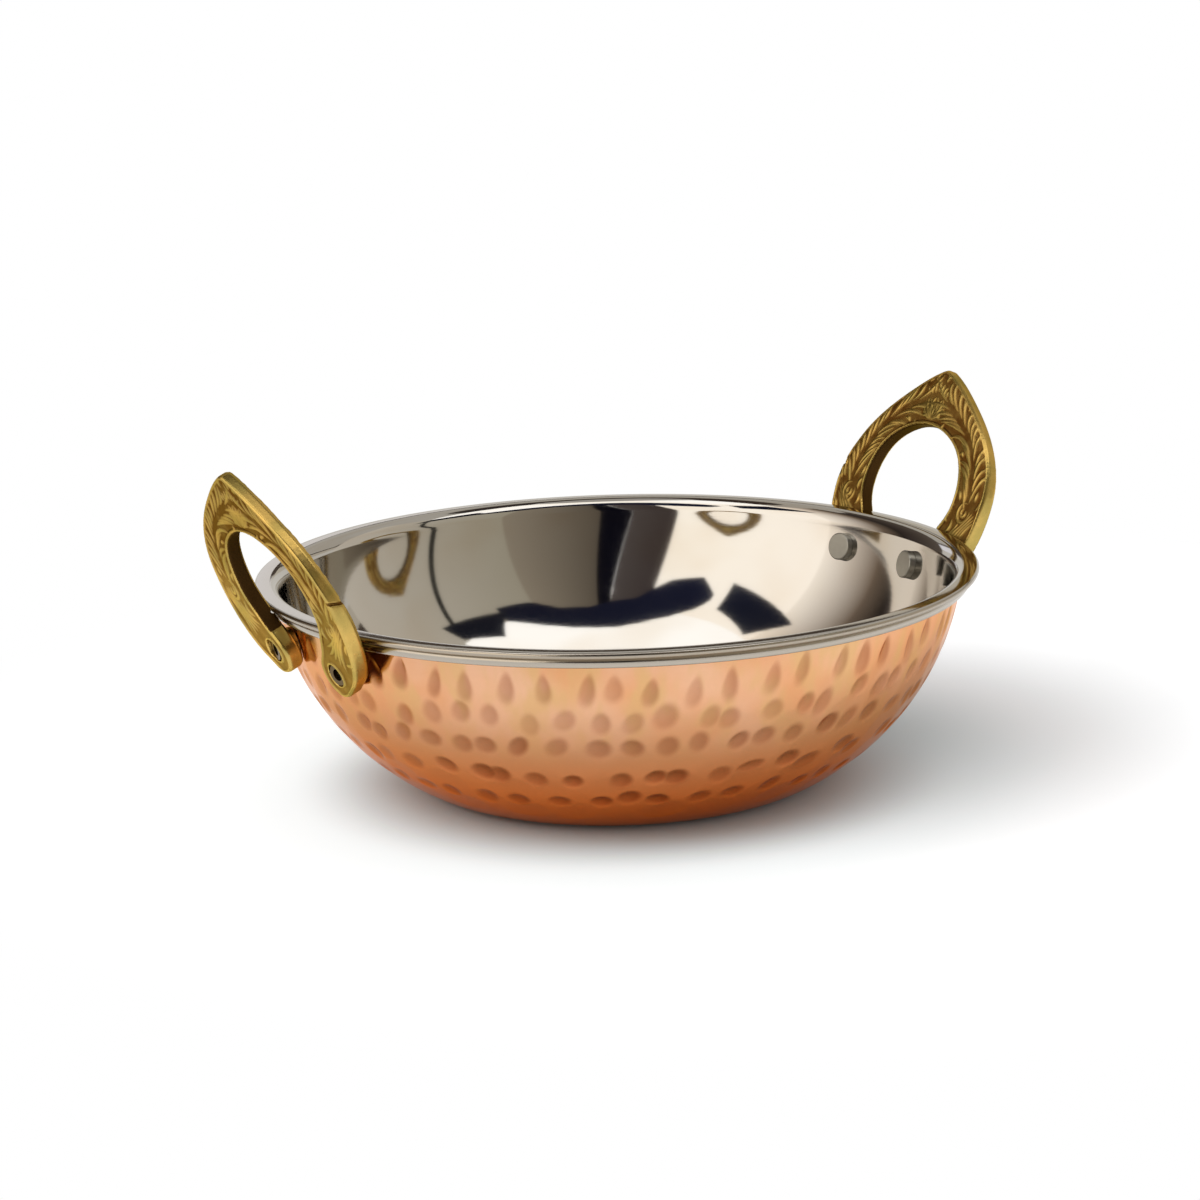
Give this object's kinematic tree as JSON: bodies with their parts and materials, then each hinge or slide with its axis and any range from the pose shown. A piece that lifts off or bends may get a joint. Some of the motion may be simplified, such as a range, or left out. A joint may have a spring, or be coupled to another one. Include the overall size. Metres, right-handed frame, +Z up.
{
  "type": "kadai",
  "caption": "Small round serving kadai with a steel liner in a hammered copper bowl and riveted brass arch handles.",
  "frame": {"origin": "middle of the flat base, on the surface that the bowl stands on", "axes": "+X from the middle to one handle, +Z up"},
  "size_m": [0.1802, 0.15, 0.0764],
  "materials": {
    "copper": "hammered copper, satin, darker in the hammer marks",
    "steel": "polished stainless steel, near mirror",
    "brass": "cast brass, engraved, with a dark patina in the ornament",
    "rivet": "satin steel"
  },
  "bodies": {
    "root": {"copper_bowl": "copper", "steel_liner": "steel", "handle_left": "brass", "handle_right": "brass", "rivet_left_front": "rivet", "rivet_left_rear": "rivet", "rivet_right_front": "rivet", "rivet_right_rear": "rivet"}
  },
  "joints": []
}
